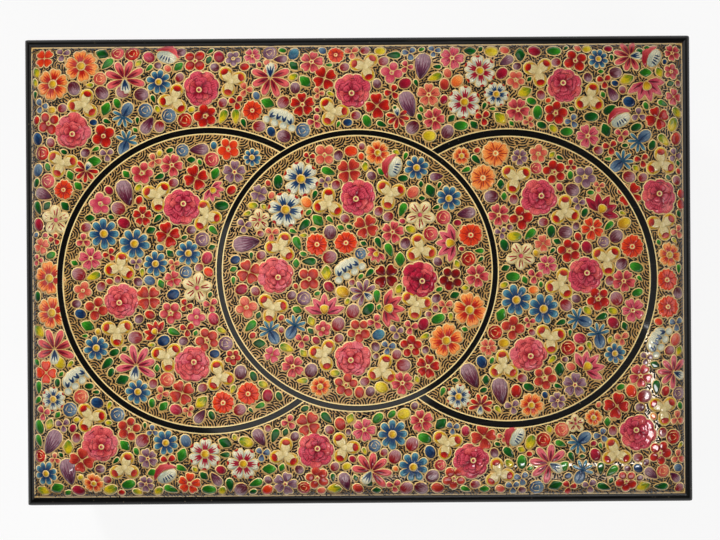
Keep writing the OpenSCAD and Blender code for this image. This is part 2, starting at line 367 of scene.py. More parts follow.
class Panel:
    """A stretch of gold ground: what is painted on it, and how far each spot is from paint."""

    def __init__(self, half_u, half_v, seed):
        self.half_u = half_u
        self.half_v = half_v
        self.step = 0.25
        self.luck = random.Random(seed)
        self.dabs = {"flowers": [], "leaves": [], "strokes": []}
        self.layer = "flowers"
        self.u = np.arange(-half_u, half_u + self.step, self.step)
        self.v = np.arange(-half_v, half_v + self.step, self.step)
        sideways = half_u - np.abs(self.u)
        upwards = half_v - np.abs(self.v)
        self.gap = np.minimum(sideways[:, None], upwards[None, :])

    def cell(self, u, v):
        i = int(round((u + self.half_u) / self.step))
        j = int(round((v + self.half_v) / self.step))
        return min(max(i, 0), len(self.u) - 1), min(max(j, 0), len(self.v) - 1)

    def room(self, u, v):
        """Distance from a spot to the nearest paint or border."""
        if abs(u) >= self.half_u or abs(v) >= self.half_v:
            return -1.0
        return self.gap[self.cell(u, v)]

    def keep_clear(self, u, v, turn, along, across):
        """Notes an ellipse as painted."""
        reach = max(along, across) + 4
        i0, j0 = self.cell(u - reach, v - reach)
        i1, j1 = self.cell(u + reach, v + reach)
        du = self.u[i0:i1 + 1, None] - u
        dv = self.v[None, j0:j1 + 1] - v
        c, s = math.cos(turn), math.sin(turn)
        p = (du * c + dv * s) / along
        q = (dv * c - du * s) / across
        far = np.sqrt(p * p + q * q)
        slope = np.sqrt((p / along) ** 2 + (q / across) ** 2) + 1e-6
        distance = far * (far - 1) / slope
        self.gap[i0:i1 + 1, j0:j1 + 1] = np.minimum(self.gap[i0:i1 + 1, j0:j1 + 1], distance)

    def dab(self, shape, u, v, turn, length, width, paint, rim="gold", level=0, bend=0.0, line=0.4):
        """One touch of the brush from its root at u, v, with a line in the rim's paint round it."""
        turn = math.radians(turn)
        if rim:
            back = (u - line * math.cos(turn), v - line * math.sin(turn))
            self.dabs[self.layer].append((shape, "flat", *back, turn, length + 2 * line,
                                          width + 2 * line, rim, level, bend))
            if level == 0:
                way = self.luck.uniform(0, 2 * math.pi)
                slip = (back[0] + ink_slip * math.cos(way), back[1] + ink_slip * math.sin(way))
                self.dabs[self.layer].append(("oval" if shape == "dot" else shape, "flat", *slip, turn,
                                              length + 2 * line, width + 2 * line, "ink", under, bend))
                spans = ((0.5, 0.5, 0.5),)
                if shape in ("drop", "heart"):
                    spans = ((0.62, 0.38, 0.44), (0.3, 0.3, 0.28))
                for middle, half, side in spans:
                    mid_u = u + math.cos(turn) * length * middle + bend * math.sin(turn)
                    mid_v = v + math.sin(turn) * length * middle - bend * math.cos(turn)
                    self.keep_clear(mid_u, mid_v, turn, length * half + line, width * side + line)
        kind = "flat" if shape in ("stroke", "dash", "wave") else "domed"
        self.dabs[self.layer].append((shape, kind, u, v, turn, length, width, paint, level, bend))

    def round(self, u, v, size, paint, rim="gold", level=0):
        """A round touch, given by its middle."""
        self.dab("dot", u - size / 2, v, 0, size, size, paint, rim, level)

    def arc(self, u, v, reach, way, sweep, width, paint, level=1):
        """A thin curved line round u, v, its middle in the direction way."""
        half = math.radians(sweep / 2)
        start = math.radians(way) - half
        self.dab("stroke", u + reach * math.cos(start), v + reach * math.sin(start), way + 90,
                 2 * reach * math.sin(half), width, paint, None, level, reach * (1 - math.cos(half)))

    def petals(self, shape, u, v, count, turn, inner, outer, width, paint, rim="gold", level=0,
               line=0.4):
        """A ring of petals round u, v."""
        shades = [paint] if isinstance(paint, str) else paint
        for k in range(count):
            way = turn + 360 * k / count + self.luck.uniform(-4, 4)
            size = self.luck.uniform(0.93, 1.07)
            self.dab(shape, *away(u, v, way, inner), way, (outer - inner) * size, width * size,
                     shades[k % len(shades)], rim, level, 0.0, line)


sink, first_coat, coat_step, dome = 0.08, 0.05, 0.07, 0.07


def lay_on(panel, layer, place, name):
    """Presses a panel's dabs onto its surface as one mesh. place turns u, v, height into x, y, z."""
    points, loops, totals, smooth, chart, roots, tips = [], [], [], [], [], [], []
    used = 0
    kinds = sorted({(d[0], d[1]) for d in panel.dabs[layer]})
    for kind in kinds:
        blank = dab_blanks[kind]
        rows = [d for d in panel.dabs[layer] if (d[0], d[1]) == kind]
        numbers = np.array([d[2:7] + d[8:10] for d in rows])
        u, v, turn, length, width, level, bend = numbers.T[:, :, None]
        px, py = blank["points"].T
        along = py * length
        across = px * width + bend * 4 * py * (1 - py)
        du = along * np.cos(turn) + across * np.sin(turn)
        dv = along * np.sin(turn) - across * np.cos(turn)
        edge = first_coat + coat_step * level + (0.02 if kind[1] == "domed" else 0.0)
        heights = np.where(blank["heights"] < 0, -sink, edge + dome * np.maximum(blank["heights"], 0))
        points.append(np.stack([u + du, v + dv, heights + 0 * du], axis=-1).reshape(-1, 3))
        corners = np.concatenate([np.array(face) for face in blank["faces"]])
        count = len(px)
        starts = used + count * np.arange(len(rows))
        loops.append((corners[None, :] + starts[:, None]).ravel())
        totals.append(np.tile([len(face) for face in blank["faces"]], len(rows)))
        smooth.append(np.tile(blank["smooth"], len(rows)))
        cells = np.array([chart_places[d[7]] for d in rows], float)
        spot = np.stack([px + 0.5, py], axis=-1) * 0.88 + 0.06
        chart.append(((cells[:, None, :] + spot[corners][None, :, :]) / chart_side).reshape(-1, 2))
        roots.append(np.repeat([paints[d[7]][0] for d in rows], count, axis=0))
        tips.append(np.repeat([paints[d[7]][1] for d in rows], count, axis=0))
        used += count * len(rows)
    mesh = bpy.data.meshes.new(name)
    spots = np.concatenate(points)
    totals = np.concatenate(totals)
    mesh.vertices.add(len(spots))
    mesh.vertices.foreach_set("co", (place(*spots.T) * mm).ravel())
    mesh.loops.add(int(totals.sum()))
    mesh.loops.foreach_set("vertex_index", np.concatenate(loops))
    mesh.polygons.add(len(totals))
    mesh.polygons.foreach_set("loop_start", np.concatenate([[0], np.cumsum(totals)[:-1]]))
    mesh.polygons.foreach_set("use_smooth", np.concatenate(smooth))
    mesh.update(calc_edges=True)
    mesh.uv_layers.new(name="OFBake").data.foreach_set("uv", np.concatenate(chart).ravel())
    for attribute, colours in (("root_colour", roots), ("tip_colour", tips)):
        layer_colours = mesh.attributes.new(attribute, "FLOAT_COLOR", "POINT")
        layer_colours.data.foreach_set("color", np.concatenate(colours).ravel())
    mesh.materials.append(flower_paint)
    piece = bpy.data.objects.new(name, mesh)
    bpy.context.scene.collection.objects.link(piece)
    return piece


# The flowers of the hazara pattern, each painted from the back petals forward. Sizes are
# across a whole flower, in millimetres, and turns are in degrees from the panel's length.
def rose(panel, u, v, turn, size, shade):
    """A many-petalled rose with its small gold ring set off the middle."""
    other = "pink" if shade == "rose coral" else "rose coral"
    panel.petals("drop", u, v, 8, turn, size * 0.06, size * 0.5, size * 0.46, (shade, shade, other))
    heart = away(u, v, turn, size * 0.08)
    panel.petals("heart", *heart, 5, turn + 25, size * 0.05, size * 0.37, size * 0.42,
                 (shade, other, shade), "rose shade", 1, 0.16)
    panel.petals("drop", *heart, 4, turn + 70, size * 0.05, size * 0.25, size * 0.26, shade,
                 "rose shade", 2, 0.16)
    for k in range(9):
        reach = size * panel.luck.uniform(0.22, 0.45)
        panel.arc(u, v, reach, turn + 41 * k, panel.luck.uniform(18, 44), 0.34, "rose shade", 2.6)
    panel.round(*heart, size * 0.16, "gold", None, 3)
    panel.round(*heart, size * 0.09, shade, None, 3.6)


def trefoil(panel, u, v, turn, size):
    """Three lobes with yellow borders, red at their tips and cream where they meet."""
    ways = [turn + step + panel.luck.uniform(-9, 9) for step in (0, 112, -112)]
    for way in ways:
        panel.dab("oval", *away(u, v, way, size * 0.07), way, size * 0.45, size * 0.41, "yellow")
    for way in ways:
        panel.dab("oval", u, v, way, size * 0.4, size * 0.31, "cream", None, 1)
        panel.dab("oval", *away(u, v, way, size * 0.27), way, size * 0.2, size * 0.27,
                  panel.luck.choice(("red", "coral red")), None, 2)
        panel.arc(u, v, size * 0.24, way, 50, 0.34, "cream", 2.6)
    panel.round(u, v, size * 0.2, "cream", None, 1.6)


def quatrefoil(panel, u, v, turn, size, shade):
    """Four or five round red lobes side by side, each in its own gold line."""
    count = panel.luck.choice((4, 5, 5))
    if panel.luck.random() < 0.3:
        panel.petals("heart", u, v, 4, turn, size * 0.05, size * 0.5, size * 0.5, shade)
        return
    lobe = size * (0.4 if count == 4 else 0.36)
    for k in range(count):
        way = turn + 360 * k / count + panel.luck.uniform(-7, 7)
        big = lobe * panel.luck.uniform(0.88, 1.1)
        panel.dab("oval", *away(u, v, way, size * 0.46 - big), way, big, big * 0.94, shade)
    panel.round(u, v, size * 0.1, shade, "gold", 1)


def triplet(panel, u, v, turn, size, shade):
    """Three round petals, the small purple flower that fills corners."""
    panel.petals("drop", u, v, 3, turn, size * 0.04, size * 0.52, size * 0.5, shade)
    panel.petals("stroke", u, v, 3, turn, size * 0.06, size * 0.4, 0.4, "plum", None, 1)


def bud(panel, u, v, turn, size):
    """A round bud, dark at its foot and mauve above."""
    way = turn + panel.luck.choice((0, 180))
    panel.dab("oval", *away(u, v, way, -size / 2), way, size, size * 0.88,
              panel.luck.choice(("plum bud", "crimson bud")))


def daisy(panel, u, v, turn, size, count, petal, blush):
    """Separate petals with a blush at the root, round a raised eye."""
    shape, width = ("heart", size * 0.4) if count < 8 else ("drop", size * 0.29)
    panel.petals(shape, u, v, count, turn, size * 0.12, size * 0.5, width, petal)
    for k in range(count):
        for step in (-13, 0, 13):
            length = size * (0.36 if step else 0.42)
            panel.dab("leaf", u, v, turn + 360 * k / count + step, length, size * 0.07, blush, None, 1)
    if petal == "cool white":
        panel.petals("heart", u, v, count, turn, size * 0.43, size * 0.51, size * 0.16, "red", None, 1)
    panel.round(u, v, size * 0.22, "yellow", "gold", 2)


def marigold(panel, u, v, turn, size, shade):
    """A full flower of seven petals with a small cream ring."""
    panel.petals("heart", u, v, 7, turn, size * 0.05, size * 0.5, size * 0.42, shade)
    panel.petals("stroke", u, v, 7, turn + 26, size * 0.12, size * 0.47, 0.5, "red", None, 1)
    panel.petals("stroke", u, v, 7, turn, size * 0.1, size * 0.34, 0.6, "red", None, 1)
    panel.round(u, v, size * 0.22, "gold", None, 2)
    panel.round(u, v, size * 0.11, shade, None, 2.6)


def fan(panel, u, v, turn, size, open_wide, shade):
    """A half-open flower: petals spread from a point, over a white bud with blue streaks or an eye."""
    count, spread = (6, 44) if open_wide else (5, 36)
    for k in range(count):
        step = k - (count - 1) / 2
        way = turn + step * spread
        length = size * panel.luck.uniform(0.5, 0.58)
        root = away(u, v, way, size * 0.06)
        panel.dab("drop" if open_wide else "leaf", *root, way, length, size * 0.26, shade)
        panel.dab("leaf", *root, way, length * 0.7, size * 0.07, "rose shade", None, 1)
    if open_wide:
        panel.dab("drop", u, v, turn + 180, size * 0.44, size * 0.36, "cool white", "gold", 0.5)
        for step in (-16, 0, 16):
            panel.dab("leaf", u, v, turn + 180 + step, size * 0.36, size * 0.06, "deep blue", None, 1.6)
    else:
        panel.dab("drop", u, v, turn, size * 0.26, size * 0.3, "yellow", "gold", 2, 0, 0.3)


def tulip(panel, u, v, turn, size, stripe):
    """A large drop of mauve with dark streaks and a plum side."""
    panel.dab("drop", u, v, turn, size, size * 0.74, "plum bud" if stripe else "mauve")
    for step in (-2, -1, 0, 1, 2):
        panel.dab("leaf", u, v, turn + step * 10, size * (0.8 - 0.06 * abs(step)), 0.42, "plum", None, 1)


def crescent(panel, u, v, turn, size, shade):
    """A curved petal that holds a white half flower with blue streaks."""
    panel.dab("oval", u, v, turn, size * 0.86, size * 0.56, "cool white")
    for step in (0.2, 0.34, 0.48, 0.62):
        panel.dab("leaf", *away(u, v, turn, size * step, size * 0.22), turn + 90 + (step - 0.41) * 70,
                  size * 0.26, size * 0.07, "deep blue", None, 1)
    panel.dab("oval", *away(u, v, turn, -size * 0.12, -size * 0.1), turn, size * 1.1, size * 0.3, shade,
              "gold", 0.5, -size * 0.3)


def butterfly(panel, u, v, turn, size):
    """A blue bud, and behind it a half flower of narrow petals."""
    panel.dab("oval", u, v, turn, size * 0.56, size * 0.42, "blue grey")
    for step in (-2, -1, 0, 1, 2):
        panel.dab("drop", u, v, turn + 180 + step * 42, size * 0.42, size * 0.15, "sky blue", "gold",
                  0, 0, 0.3)
    panel.dab("leaf", u, v, turn, size * 0.44, size * 0.09, "deep blue", None, 1)


def striped_flower(panel, u, v, turn, size):
    """White petals striped with red, and small pink petals at the back."""
    panel.petals("oval", u, v, 5, turn, size * 0.06, size * 0.5, size * 0.34, "cream")
    panel.petals("stroke", u, v, 5, turn - 9, size * 0.1, size * 0.46, 0.7, "crimson", None, 1)
    panel.petals("stroke", u, v, 5, turn + 9, size * 0.12, size * 0.42, 0.6, "red", None, 1)
    panel.round(u, v, size * 0.16, "pink", None, 2)


def plume(panel, u, v, turn, size):
    """A row of white buds with blue marks, like a spray of lilac."""
    for k in range(4):
        way = turn + 24 * (k - 1.5) + 90
        foot = away(u, v, turn, size * (k - 1.5) / 4.4)
        panel.dab("oval", *foot, way, size * 0.36, size * 0.3, "cool white")
        panel.dab("oval", *foot, way + 180, size * 0.2, size * 0.22, "cool white")
        for step in (-18, 18):
            panel.dab("leaf", *foot, way + step, size * 0.2, size * 0.07, "deep blue", None, 1)


def blossom(panel, u, v, turn, size, shade):
    """A small five-petalled flower."""
    panel.petals("heart", u, v, 5, turn, size * 0.08, size * 0.5, size * 0.42, shade)
    panel.petals("stroke", u, v, 5, turn, size * 0.1, size * 0.36, 0.4, "rose shade", None, 1)
    panel.round(u, v, size * 0.2, "gold", None, 1)
    panel.round(u, v, size * 0.1, "red", None, 1.6)


def rosette(panel, u, v, turn, size, shade):
    """A round flower with a cream line that winds to its middle."""
    panel.round(u, v, size, shade)
    for k in range(4):
        panel.arc(u, v, size * (0.36 - 0.07 * k), turn + 110 * k, 115, 0.3, "gold", 1)


def leaf(panel, u, v, turn, size):
    """A green leaf, at times yellow at its foot."""
    green = panel.luck.choice(("leaf green", "deep green", "leaf green", "deep green", "sunlit leaf"))
    shape = panel.luck.choice(("leaf", "oval", "drop"))
    width = size * (0.74 if shape == "leaf" else 0.66)
    panel.dab(shape, *away(u, v, turn, -size / 2), turn, size, width, green)


def best_turn(panel, u, v, reach):
    """The direction in which a spot has the most room."""
    def free(turn):
        du, dv = reach * math.cos(turn), reach * math.sin(turn)
        return min(panel.room(u + du, v + dv), panel.room(u - du, v - dv))
    return max((math.pi * k / 8 for k in range(8)), key=free)


dot_shades = ("red", "crimson", "coral red", "salmon", "yellow", "blue grey", "deep blue", "rose pink",
              "peach", "lemon", "orange red", "sky blue", "crimson", "red")


def small_filler(panel, u, v, turn, size):
    """What goes in a gap: a leaf, a bud, a small round flower or a dot."""
    pick = panel.luck.random()
    if size > 4.2 and pick < 0.34:
        shade = panel.luck.choice(("mauve", "salmon", "rose coral", "blue grey", "red"))
        panel.luck.choice((triplet, triplet, rosette))(panel, u, v, turn, size, shade)
    elif pick < 0.7:
        leaf(panel, u, v, turn, size)
    elif pick < 0.82 and size > 2.2:
        bud(panel, u, v, turn, size)
    else:
        panel.dab("oval", *away(u, v, turn, -size * 0.45), turn, size * 0.9, size * 0.72,
                  panel.luck.choice(dot_shades))


def fill_with_leaves(panel, border):
    """Fills what is left between the flowers: large gaps first, each filler near its neighbours."""
    panel.layer = "leaves"
    for size in (5.4, 4.8, 4.3, 3.9, 3.5, 3.2, 2.9, 2.6, 2.3):
        least = size * 0.34 + 0.5
        for snug in (0.25, 0.7, 9.0):
            close = np.argwhere((panel.gap > least) & (panel.gap < least + snug))
            panel.luck.shuffle(spots := close.tolist())
            for i, j in spots[:4000]:
                u, v = panel.u[i], panel.v[j]
                if not least < panel.gap[i, j] < least + snug or border(u, v) < size * 0.4:
                    continue
                turn = best_turn(panel, u, v, size / 2)
                tip = size * 0.42
                ends = [panel.room(u + k * tip * math.cos(turn), v + k * tip * math.sin(turn))
                        for k in (-1, 1)]
                if min(ends) > 0.35:
                    small_filler(panel, u, v, math.degrees(turn), size)


def fill_with_strokes(panel, waves):
    """Fills the bare gold with black strokes: nested like small waves, or as combs across a gap."""
    panel.layer = "strokes"
    taken = panel.gap < 0.0
    pitch = 0.92
    brush_end = 0.1

    def cells(centre_u, centre_v, radius, ways):
        """The cells of the panel that an arc runs through."""
        i = np.rint((centre_u + radius * np.cos(ways) + panel.half_u) / panel.step).astype(int)
        j = np.rint((centre_v + radius * np.sin(ways) + panel.half_v) / panel.step).astype(int)
        return np.clip(i, 0, len(panel.u) - 1), np.clip(j, 0, len(panel.v) - 1)

    def draw_arc(centre_u, centre_v, radius, facing, sweep, least):
        """Draws an arc wherever it crosses bare gold, and says if any was drawn."""
        count = max(3, int(radius * sweep / 0.17))
        ways = facing + np.linspace(-0.5, 0.5, count + 1) * sweep
        free = ~taken[cells(centre_u, centre_v, radius, ways)]
        breaks = np.flatnonzero(np.diff(np.concatenate([[False], free, [False]]).astype(int)))
        drawn = False
        for first, last in zip(breaks[::2], breaks[1::2] - 1):
            if radius * (ways[last] - ways[first]) < least:
                continue
            for offset in (-0.38, -0.19, 0.0, 0.19, 0.38):
                taken[cells(centre_u, centre_v, radius + offset, ways[first:last + 1])] = True
            start = ways[first] - brush_end / radius
            end = ways[last] + brush_end / radius
            half = (end - start) / 2
            length = 2 * radius * math.sin(half)
            panel.dab("wave" if length > 1.3 else "dash", centre_u + radius * math.cos(start),
                      centre_v + radius * math.sin(start), math.degrees(start + half) + 90, length,
                      panel.luck.uniform(0.56, 0.72), "ink", None, under, radius * (1 - math.cos(half)))
            drawn = True
        return drawn

    def wave(u, v, facing, reach, sweep, least):
        """Arcs about one spot, each outside the last."""
        for radius in np.arange(0.6, reach, pitch):
            draw_arc(u, v, radius, facing + panel.luck.uniform(-0.1, 0.1), sweep, least)

    shortest = 0.7
    for u, v, facing in waves:
        wave(u, v, facing, 4.0, 2.0, shortest)
    room_for_wave, ground_per_wave = 1.05, 2.0
    wide = np.argwhere(panel.gap > room_for_wave)
    tries = min(len(wide), int(len(wide) * panel.step ** 2 / ground_per_wave))
    for i, j in panel.luck.sample(wide.tolist(), tries):
        if not taken[i, j]:
            wave(panel.u[i], panel.v[j], panel.luck.uniform(0, 2 * math.pi), 2.6, 2.2, shortest)

    slope_u, slope_v = np.gradient(panel.gap)
    turns = np.arctan2(slope_v, slope_u)
    twice = [np.cos(2 * turns), np.sin(2 * turns)]
    for k in (0, 1):
        for _ in range(3):
            twice[k] = (twice[k] + np.roll(twice[k], 1, 0) + np.roll(twice[k], -1, 0)
                        + np.roll(twice[k], 1, 1) + np.roll(twice[k], -1, 1)) / 5
    wave_u = np.sin(panel.u / 13.0)[:, None] + np.sin(panel.v / 11.0)[None, :]
    across = np.arctan2(twice[1], twice[0]) / 2 + np.radians(50 + 14 * wave_u)
    bare = np.argwhere(panel.gap > 0.1)
    bend, longest = 5.0, 2.8
    for i, j in panel.luck.sample(bare.tolist(), int(len(bare) * 0.3)):
        waiting = deque([(panel.u[i], panel.v[j])])
        while waiting:
            u, v = waiting.popleft()
            if max(abs(u) - panel.half_u, abs(v) - panel.half_v) >= 0 or taken[panel.cell(u, v)]:
                continue
            turn = across[panel.cell(u, v)]
            lean_u, lean_v = -math.sin(turn), math.cos(turn)
            if draw_arc(u - bend * lean_u, v - bend * lean_v, bend, turn + math.pi / 2,
                        longest / bend, 0.3):
                for side in (-pitch, pitch):
                    waiting.append((u + side * lean_u, v + side * lean_v))


# The painted base walls: roses run up and down between the two mouldings, each with its
# trefoils, quatrefoils and buds, and smaller flowers, leaves and black strokes fill the gold.
def cluster(panel, u, v, turn, shade, red, foils=None, reds=None):
    """A rose with two trefoils and two quatrefoils about it, and four buds between them."""
    rose_size, foil_size, red_size, bud_size = 13.6, 11.4, 9.6, 3.6
    foil_reach, red_reach, bud_reach = 11.8, 11, 9.4
    rose(panel, u, v, turn, rose_size, shade)
    ways = []
    for foil_u, foil_v in foils or [away(u, v, turn + a, foil_reach) for a in (0, 180)]:
        way = math.degrees(math.atan2(foil_v - v, foil_u - u))
        trefoil(panel, foil_u, foil_v, way + panel.luck.uniform(-16, 16), foil_size)
        ways.append(way)
    for red_u, red_v in reds or [away(u, v, turn + a, red_reach) for a in (90, 270)]:
        way = math.degrees(math.atan2(red_v - v, red_u - u))
        quatrefoil(panel, red_u, red_v, way + 45 + panel.luck.uniform(-12, 12), red_size, red)
        ways.append(way)
    ways = sorted(way % 360 for way in ways)
    for k, way in enumerate(ways):
        following = ways[(k + 1) % 4] + (360 if k == 3 else 0)
        between = (way + following) / 2
        spot = away(u, v, between, bud_reach)
        if panel.room(*spot) > 1.4:
            bud(panel, *spot, between + 90, bud_size)


def small_flower(panel, u, v, size):
    """One of the flowers that stand between the roses."""
    turn = panel.luck.uniform(0, 360)
    back = away(u, v, turn, -size * 0.34)
    shade = panel.luck.choice(("rose coral", "pink", "salmon", "red", "orange red", "mauve"))
    choice = panel.luck.random()
    if choice < 0.07:
        daisy(panel, u, v, turn, size, 6, "peach", "red")
    elif choice < 0.16:
        daisy(panel, u, v, turn, size, 8, "sky blue", "deep blue")
    elif choice < 0.2:
        daisy(panel, u, v, turn, size, 6, "cool white", "deep blue")
    elif choice < 0.27:
        marigold(panel, u, v, turn, size, "orange red")
    elif choice < 0.37:
        fan(panel, *back, turn, size * 1.15, panel.luck.random() < 0.6, shade)
    elif choice < 0.5:
        tulip(panel, *back, turn, size * 0.8, True)
    elif choice < 0.54:
        striped_flower(panel, u, v, turn, size)
    elif choice < 0.82:
        quatrefoil(panel, u, v, turn, size, shade)
    else:
        blossom(panel, u, v, turn, size, shade)


def scatter_small_flowers(panel, steps):
    """Puts small flowers where the clusters leave room. A step is the room and the flower's size."""
    for room, size in steps:
        for _ in range(5000):
            u = panel.luck.uniform(-panel.half_u + size / 2, panel.half_u - size / 2)
            v = panel.luck.uniform(-panel.half_v + size / 2, panel.half_v - size / 2)
            if room < panel.room(u, v) < room + 0.8:
                small_flower(panel, u, v, size)


def paint_wall(side, run, seed, place):
    """Paints one wall. Run is half its length."""
    end_margin, edge_margin = 1.2, 0.8
    cluster_length, end_room, off_middle = 41, 4, 5.5
    panel = Panel(run - end_margin, wall_half - edge_margin, seed)
    shades = ("rose pink", "rose coral", "rose crimson")
    reds = ("red", "coral red", "deep red")
    count = max(4, round(2 * run / cluster_length))
    for k in range(count):
        u = (k - (count - 1) / 2) * 2 * (run - end_room) / count
        v = off_middle if k % 2 else -off_middle
        cluster(panel, u, v, panel.luck.uniform(-20, 20) + 25, shades[k % 3], reds[(k + 1) % 3])
    scatter_small_flowers(panel, ((5.2, 10.0), (4.7, 9.0), (4.0, 7.4), (3.5, 6.4)))
    fill_with_leaves(panel, lambda u, v: 9.0)
    fill_with_strokes(panel, [])
    for layer in ("flowers", "leaves", "strokes"):
        piece = lay_on(panel, layer, place, f"{side}_wall_{layer}")
        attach(piece, "base")


def wall_place(face_x, face_y):
    """Stands a panel's spots on the wall that faces this way."""
    def place(u, v, height):
        x = face_x * (half_length + height) - face_y * u
        y = face_y * (half_width + height) + face_x * u
        return np.stack([x, y, v + wall_middle], axis=-1)
    return place


paint_wall("front", half_length, 11, wall_place(0, -1))
paint_wall("back", half_length, 23, wall_place(0, 1))
paint_wall("left", half_width, 37, wall_place(-1, 0))
paint_wall("right", half_width, 41, wall_place(1, 0))

# Mouldings of rolled paper cover the foot, the seam and the lid's edge. They are lacquered
# black by brush, with cloudy places, rubbed scratches and dust in the lacquer.
handled_lacquer = black_lacquer_finish("handled_lacquer", 0.2, 0.28, 0.9)
for part in ("foot_moulding", "base_moulding", "lid_moulding"):
    finish_solids(handled_lacquer, *[f"{part}_{side}" for side in sides])

# The lid's crown: a cushion of laminated paper, pressed over a form so that it rolls down
# to its edges. Outside it has the same gold ground as the walls, inside black lacquer.
lid_walls_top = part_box("lid_left_wall")[1].z / mm
roll_width, roll_height, crown_lip, crown_board = 18.0, 7.0, 1.2, 3.2
crown_rise = 1.1
hollow_inset = 5.0
roll_ease, roll_power = 2.2, 0.59


def roll(distance, width):
    """Share of the rolled edge's height at a distance in from the edge."""
    share = np.clip(distance / width, 0, 1)
    return (1 - (1 - share) ** roll_ease) ** roll_power


def swell(x, y):
    return (1 - (x / half_length) ** 2) * (1 - (y / half_width) ** 2)


def crown_top(x, y):
    edges = roll(half_length - np.abs(x), roll_width) * roll(half_width - np.abs(y), roll_width)
    return lid_walls_top + crown_lip + crown_rise * swell(x, y) + roll_height * edges


def crown_under(x, y):
    inner = roll_width - hollow_inset
    edges = (roll(half_length - hollow_inset - np.abs(x), inner)
             * roll(half_width - hollow_inset - np.abs(y), inner))
    return lid_walls_top + (crown_lip + roll_height - crown_board + crown_rise * swell(x, y)) * edges


def crown_ground_finish():
    """The gold of the lid, darkened with painted shade towards its rolled edges, with a gold line along
    them.
    """
    material, tree, shader = new_finish("painted_crown_board")
    place = add(tree, "TexCoord").outputs["Object"]
    x, y, _ = add(tree, "SeparateXYZ", {0: place}).outputs
    from_side = sums(tree, "SUBTRACT", half_length * mm, sums(tree, "ABSOLUTE", x))
    from_front = sums(tree, "SUBTRACT", half_width * mm, sums(tree, "ABSOLUTE", y))
    inward = sums(tree, "MINIMUM", from_side, from_front)
    # Painted shade: the gold darkens over its last 6 mm towards the edges, where the crown rolls down.
    painted_shade = ranged(tree, inward, 6.0 * mm, 0.5 * mm, 0.0, 0.8)
    from_line = sums(tree, "SUBTRACT", inward, line_inset * mm)
    gold, strokes, age = gold_ground(tree, place, painted_shade, from_line)
    dress(tree, shader, gold, ranged(tree, age["Cloud"], 0.0, 1.0, 0.4, 0.6), strokes, 0.25)
    varnished(shader)
    return material


def station(share, half):
    """Spreads rows of points so that they crowd where the crown rolls over."""
    level = half - roll_width
    if abs(share) < 0.5:
        return share / 0.5 * level
    edge = (1 - abs(share)) / 0.5
    return math.copysign(half - roll_width * edge ** 1.8, share)


bm = bmesh.new()
bmesh.ops.create_grid(bm, x_segments=96, y_segments=80, size=1)
for v in bm.verts:
    v.co.x = station(v.co.x, half_length)
    v.co.y = station(v.co.y, half_width)
    v.co.z = float(crown_under(v.co.x, v.co.y))
pulled = bmesh.ops.extrude_face_region(bm, geom=bm.faces[:])["geom"]
for v in pulled:
    if isinstance(v, bmesh.types.BMVert):
        v.co.z = float(crown_top(v.co.x, v.co.y))
bmesh.ops.recalc_face_normals(bm, faces=bm.faces[:])
bmesh.ops.scale(bm, vec=(mm, mm, mm), verts=bm.verts[:])
for face in bm.faces:
    face.smooth = True
    face.material_index = int(face.normal.z < -0.1)
for edge in bm.edges:
    edge.smooth = len(edge.link_faces) == 2 and edge.calc_face_angle() < 0.9
crown = new_piece("lid_crown_board", bm, crown_ground_finish(), black_lacquer)
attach(crown, "lid")
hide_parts("lid_crown")

# The three rings: bands of black lacquer drawn with a compass over the gold, with a fine
# gold line on each side. The side rings stop at the middle one, which lies over them.
ring_relief, ring_sink = 0.22, 0.1
line_relief, line_width, line_offset = 0.13, 0.44, 0.21
rings = {
    "ring_middle": {"centre": (0.0, 0.0), "radius": 51.5, "width": 1.9},
    "ring_left": {"centre": (-55.3, -3.4), "radius": 56.0, "width": 2.1},
    "ring_right": {"centre": (56.3, -3.4), "radius": 54.5, "width": 2.4},
}


def ring_arc(ring):
    """Start and sweep of a ring. A side ring leaves out what lies under the middle ring."""
    middle = rings["ring_middle"]
    if ring is middle:
        return 0.0, 360.0
    reach_u = middle["centre"][0] - ring["centre"][0]
    reach_v = middle["centre"][1] - ring["centre"][1]
    reach = math.hypot(reach_u, reach_v)
    edge = middle["radius"] + middle["width"] / 2
    cosine = (reach ** 2 + ring["radius"] ** 2 - edge ** 2) / (2 * reach * ring["radius"])
    gap = math.degrees(math.acos(cosine))
    return math.degrees(math.atan2(reach_v, reach_u)) + gap, 360 - 2 * gap


